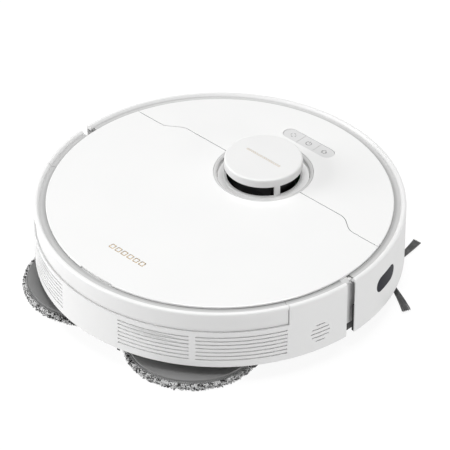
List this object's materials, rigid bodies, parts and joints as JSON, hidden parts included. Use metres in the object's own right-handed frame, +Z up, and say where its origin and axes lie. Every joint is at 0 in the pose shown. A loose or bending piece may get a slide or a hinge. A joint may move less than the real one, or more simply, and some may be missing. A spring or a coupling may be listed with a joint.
{
  "type": "robot vacuum",
  "caption": "Round robot vacuum and mop with a laser turret, sprung bumper, hinged rear lid, slide-out rear water tank, drive wheels, brushes and spinning mop pads.",
  "frame": {"origin": "on the floor, under the centre of the round body", "axes": "+Z up, +Y the driving direction (bumper side), +X to the robot's right"},
  "size_m": [0.3522, 0.35, 0.0957],
  "materials": {
    "white_gloss": "high gloss clear-coated white",
    "white_satin": "fine satin white",
    "white_inner": "plain moulded white",
    "button_white": "satin white, printed icons",
    "grey_frame": "plain moulded grey",
    "base_black": "fine spark-eroded texture",
    "dark_plastic": "moulded dark grey",
    "gear_black": "moulded black",
    "guard_grey": "satin moulded grey",
    "hub_grey": "moulded grey",
    "tyre_rubber": "dull rubber",
    "caster_nylon": "smooth nylon",
    "seal_rubber": "soft matte rubber",
    "blade_rubber": "soft rubber",
    "sweep_arm": "soft dark grey rubber and bristle",
    "steel": "turned steel",
    "contact_metal": "plated spring metal",
    "dark_window": "polished infrared window",
    "lens_glass": "coated lens",
    "lidar_black": "matte black",
    "board_green": "lacquered board",
    "battery_wrap": "shrink wrap",
    "bin_smoke": "smoked plastic",
    "filter_paper": "pleated paper",
    "pump_white": "plain moulded",
    "mop_fabric": "looped yarn"
  },
  "bodies": {
    "chassis": {"base_pan": "base_black", "side_frame": "grey_frame", "rear_shell": "white_satin", "top_deck": "white_inner", "front_cover": "white_gloss", "turret_ring": "white_satin", "lidar_base": "dark_plastic", "lidar_belt": "seal_rubber", "button_board": "board_green", "main_board": "board_green", "battery_pack": "battery_wrap", "battery_cover": "base_black", "wheel_wells": "dark_plastic", "brush_housing": "dark_plastic", "brush_guard": "guard_grey", "brush_gearbox": "gear_black", "side_brush_motor": "gear_black", "fan_housing": "gear_black", "intake_seal": "seal_rubber", "dust_bin": "bin_smoke", "bin_cover": "bin_smoke", "dust_filter": "filter_paper", "mop_motors": "gear_black", "water_pump": "pump_white", "speaker": "gear_black", "cliff_sensors": "dark_window", "charge_contacts": "contact_metal", "bottom_screws": "steel", "lid_pins": "steel"},
    "lid": {"rear_lid": "white_gloss", "lid_arms": "white_inner"},
    "cap": {"turret_cap": "white_satin"},
    "lidar_rotor": {"lidar_head": "lidar_black", "lidar_lenses": "lens_glass"},
    "lidar_motor_shaft": {"lidar_pulley": "steel"},
    "spot_key": {"button_spot": "button_white"},
    "power_key": {"button_power": "button_white"},
    "dock_key": {"button_dock": "button_white"},
    "bumper_shell": {"bumper": "white_satin", "bumper_windows": "dark_window", "bumper_seals": "seal_rubber"},
    "left_arm": {"drive_arm_left": "dark_plastic"},
    "right_arm": {"drive_arm_right": "dark_plastic"},
    "left_wheel": {"wheel_hub_left": "hub_grey", "tyre_left": "tyre_rubber"},
    "right_wheel": {"wheel_hub_right": "hub_grey", "tyre_right": "tyre_rubber"},
    "caster_swivel": {"caster_fork": "dark_plastic"},
    "caster_roll": {"caster_wheel": "caster_nylon"},
    "main_brush": {"brush_core": "steel", "brush_blades": "blade_rubber"},
    "side_sweeper": {"side_brush": "sweep_arm"},
    "fan_rotor": {"fan_impeller": "pump_white"},
    "tank": {"water_tank": "white_satin"},
    "left_mop_lift": {"mop_sleeve_left": "hub_grey"},
    "right_mop_lift": {"mop_sleeve_right": "hub_grey"},
    "left_mop": {"mop_plate_left": "hub_grey", "mop_pad_left": "mop_fabric"},
    "right_mop": {"mop_plate_right": "hub_grey", "mop_pad_right": "mop_fabric"}
  },
  "joints": [
    {"name": "lid_hinge", "type": "hinge", "parent": "chassis", "child": "lid", "pos_m": [0, 0.0691, 0.0751], "axis": [-1, 0, 0], "range_deg": [0, 75]},
    {"name": "cap_press", "type": "slide", "parent": "chassis", "child": "cap", "axis": [0, 0, -1], "range_m": [0, 0.0015], "stiffness_N_per_m": 1500, "springref_m": -0.001},
    {"name": "lidar_spin", "type": "hinge", "parent": "chassis", "child": "lidar_rotor", "pos_m": [0, 0.0595, 0.07], "axis": [0, 0, 1], "continuous": true},
    {"name": "lidar_motor_spin", "type": "hinge", "parent": "chassis", "child": "lidar_motor_shaft", "pos_m": [-0.048, 0.092, 0.06], "axis": [0, 0, 1], "continuous": true},
    {"name": "spot_press", "type": "slide", "parent": "chassis", "child": "spot_key", "axis": [0, 0, -1], "range_m": [0, 0.0006], "stiffness_N_per_m": 900},
    {"name": "power_press", "type": "slide", "parent": "chassis", "child": "power_key", "axis": [0, 0, -1], "range_m": [0, 0.0006], "stiffness_N_per_m": 900},
    {"name": "dock_press", "type": "slide", "parent": "chassis", "child": "dock_key", "axis": [0, 0, -1], "range_m": [0, 0.0006], "stiffness_N_per_m": 900},
    {"name": "bumper_push", "type": "slide", "parent": "chassis", "child": "bumper_shell", "axis": [0, -1, 0], "range_m": [0, 0.0035], "stiffness_N_per_m": 600, "springref_m": -0.003},
    {"name": "left_suspension", "type": "hinge", "parent": "chassis", "child": "left_arm", "pos_m": [-0.1, -0.045, 0.042], "axis": [-1, 0, 0], "range_deg": [0, 20], "stiffness_Nm_per_rad": 0.25, "springref_deg": 28.65},
    {"name": "left_wheel_spin", "type": "hinge", "parent": "left_arm", "child": "left_wheel", "pos_m": [-0.118, 0, 0.035], "axis": [1, 0, 0], "continuous": true},
    {"name": "right_suspension", "type": "hinge", "parent": "chassis", "child": "right_arm", "pos_m": [0.1, -0.045, 0.042], "axis": [-1, 0, 0], "range_deg": [0, 20], "stiffness_Nm_per_rad": 0.25, "springref_deg": 28.65},
    {"name": "right_wheel_spin", "type": "hinge", "parent": "right_arm", "child": "right_wheel", "pos_m": [0.118, 0, 0.035], "axis": [1, 0, 0], "continuous": true},
    {"name": "caster_turn", "type": "hinge", "parent": "chassis", "child": "caster_swivel", "pos_m": [0, 0.135, 0.03], "axis": [0, 0, 1], "continuous": true},
    {"name": "caster_roll_spin", "type": "hinge", "parent": "caster_swivel", "child": "caster_roll", "pos_m": [0, 0.13, 0.0145], "axis": [1, 0, 0], "continuous": true},
    {"name": "main_brush_spin", "type": "hinge", "parent": "chassis", "child": "main_brush", "pos_m": [0, 0.026, 0.0215], "axis": [1, 0, 0], "continuous": true},
    {"name": "side_brush_spin", "type": "hinge", "parent": "chassis", "child": "side_sweeper", "pos_m": [0.122, 0.096, 0.01], "axis": [0, 0, 1], "continuous": true},
    {"name": "fan_spin", "type": "hinge", "parent": "chassis", "child": "fan_rotor", "pos_m": [0.046, -0.042, 0.03], "axis": [0, 0, 1], "continuous": true},
    {"name": "tank_slide", "type": "slide", "parent": "chassis", "child": "tank", "axis": [0, -1, 0], "range_m": [0, 0.09]},
    {"name": "left_mop_raise", "type": "slide", "parent": "chassis", "child": "left_mop_lift", "axis": [0, 0, 1], "range_m": [0, 0.006]},
    {"name": "left_mop_spin", "type": "hinge", "parent": "left_mop_lift", "child": "left_mop", "pos_m": [-0.0669, -0.1052, 0.03], "axis": [0, 0, 1], "continuous": true},
    {"name": "right_mop_raise", "type": "slide", "parent": "chassis", "child": "right_mop_lift", "axis": [0, 0, 1], "range_m": [0, 0.006]},
    {"name": "right_mop_spin", "type": "hinge", "parent": "right_mop_lift", "child": "right_mop", "pos_m": [0.0669, -0.1052, 0.03], "axis": [0, 0, 1], "continuous": true}
  ],
  "couplings": [
    {"joint": "lidar_motor_spin", "follows": "lidar_spin", "ratio": 5},
    {"joint": "right_mop_raise", "follows": "left_mop_raise", "ratio": 1},
    {"joint": "right_mop_spin", "follows": "left_mop_spin", "ratio": -1}
  ]
}
